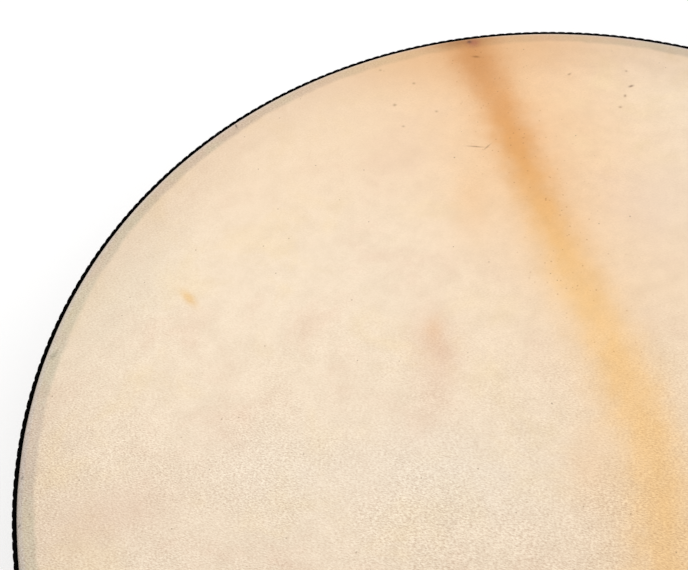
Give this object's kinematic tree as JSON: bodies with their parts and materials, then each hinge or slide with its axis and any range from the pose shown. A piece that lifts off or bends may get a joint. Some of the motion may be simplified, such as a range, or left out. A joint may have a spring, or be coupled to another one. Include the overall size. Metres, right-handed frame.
{
  "type": "ocean drum",
  "caption": "Shallow round frame drum with a hide skin on each side, black braid round both edges and loose steel shot sealed inside that rolls over the skins.",
  "frame": {"origin": "centre of the lower skin's outer face, on which the drum lies", "axes": "+Z along the drum's axis, from the lower skin to the upper one; at rest the shot lies on the lower skin at the -X side"},
  "size_m": [0.563, 0.563, 0.07],
  "materials": {
    "upper_hide": "natural hide, matt, with pores and a tan back line",
    "lower_hide": "natural hide, matt, with pores",
    "stained_wood": "dark brown stain, satin lacquer",
    "plain_wood": "bare sanded wood",
    "black_braid": "matt black woven braid",
    "tack_steel": "blued",
    "shot_steel": "polished ball steel"
  },
  "bodies": {
    "drum": {"shell": "stained_wood", "upper_ring": "plain_wood", "lower_ring": "plain_wood", "upper_head": "upper_hide", "lower_head": "lower_hide", "upper_trim": "black_braid", "lower_trim": "black_braid", "upper_tacks": "tack_steel", "lower_tacks": "tack_steel"},
    "rim_shot": {"rim_shot": "shot_steel"},
    "drift_shot": {"drift_shot": "shot_steel"},
    "lane_shot_1": {"lane_shot_1": "shot_steel"},
    "lane_shot_2": {"lane_shot_2": "shot_steel"},
    "lane_shot_3": {"lane_shot_3": "shot_steel"},
    "lane_shot_4": {"lane_shot_4": "shot_steel"},
    "lane_shot_5": {"lane_shot_5": "shot_steel"},
    "lane_shot_6": {"lane_shot_6": "shot_steel"},
    "lane_shot_7": {"lane_shot_7": "shot_steel"},
    "lane_shot_8": {"lane_shot_8": "shot_steel"},
    "lane_shot_9": {"lane_shot_9": "shot_steel"},
    "lane_shot_10": {"lane_shot_10": "shot_steel"},
    "lane_shot_11": {"lane_shot_11": "shot_steel"}
  },
  "joints": [
    {"name": "shot_orbit", "type": "hinge", "parent": "drum", "child": "rim_shot", "pos_m": [0, 0, 0.0036], "axis": [0, 0, 1], "continuous": true},
    {"name": "shot_fall", "type": "slide", "parent": "rim_shot", "child": "drift_shot", "axis": [0, 0, 1], "range_m": [0, 0.0628]},
    {"name": "lane_roll_1", "type": "slide", "parent": "drift_shot", "child": "lane_shot_1", "axis": [1, 0, 0], "range_m": [0, 0.4685]},
    {"name": "lane_roll_2", "type": "slide", "parent": "drift_shot", "child": "lane_shot_2", "axis": [1, 0, 0], "range_m": [0, 0.4789]},
    {"name": "lane_roll_3", "type": "slide", "parent": "drift_shot", "child": "lane_shot_3", "axis": [1, 0, 0], "range_m": [0, 0.4871]},
    {"name": "lane_roll_4", "type": "slide", "parent": "drift_shot", "child": "lane_shot_4", "axis": [1, 0, 0], "range_m": [0, 0.493]},
    {"name": "lane_roll_5", "type": "slide", "parent": "drift_shot", "child": "lane_shot_5", "axis": [1, 0, 0], "range_m": [0, 0.4968]},
    {"name": "lane_roll_6", "type": "slide", "parent": "drift_shot", "child": "lane_shot_6", "axis": [1, 0, 0], "range_m": [0, 0.4985]},
    {"name": "lane_roll_7", "type": "slide", "parent": "drift_shot", "child": "lane_shot_7", "axis": [1, 0, 0], "range_m": [0, 0.4968]},
    {"name": "lane_roll_8", "type": "slide", "parent": "drift_shot", "child": "lane_shot_8", "axis": [1, 0, 0], "range_m": [0, 0.493]},
    {"name": "lane_roll_9", "type": "slide", "parent": "drift_shot", "child": "lane_shot_9", "axis": [1, 0, 0], "range_m": [0, 0.4871]},
    {"name": "lane_roll_10", "type": "slide", "parent": "drift_shot", "child": "lane_shot_10", "axis": [1, 0, 0], "range_m": [0, 0.4789]},
    {"name": "lane_roll_11", "type": "slide", "parent": "drift_shot", "child": "lane_shot_11", "axis": [1, 0, 0], "range_m": [0, 0.4685]}
  ]
}
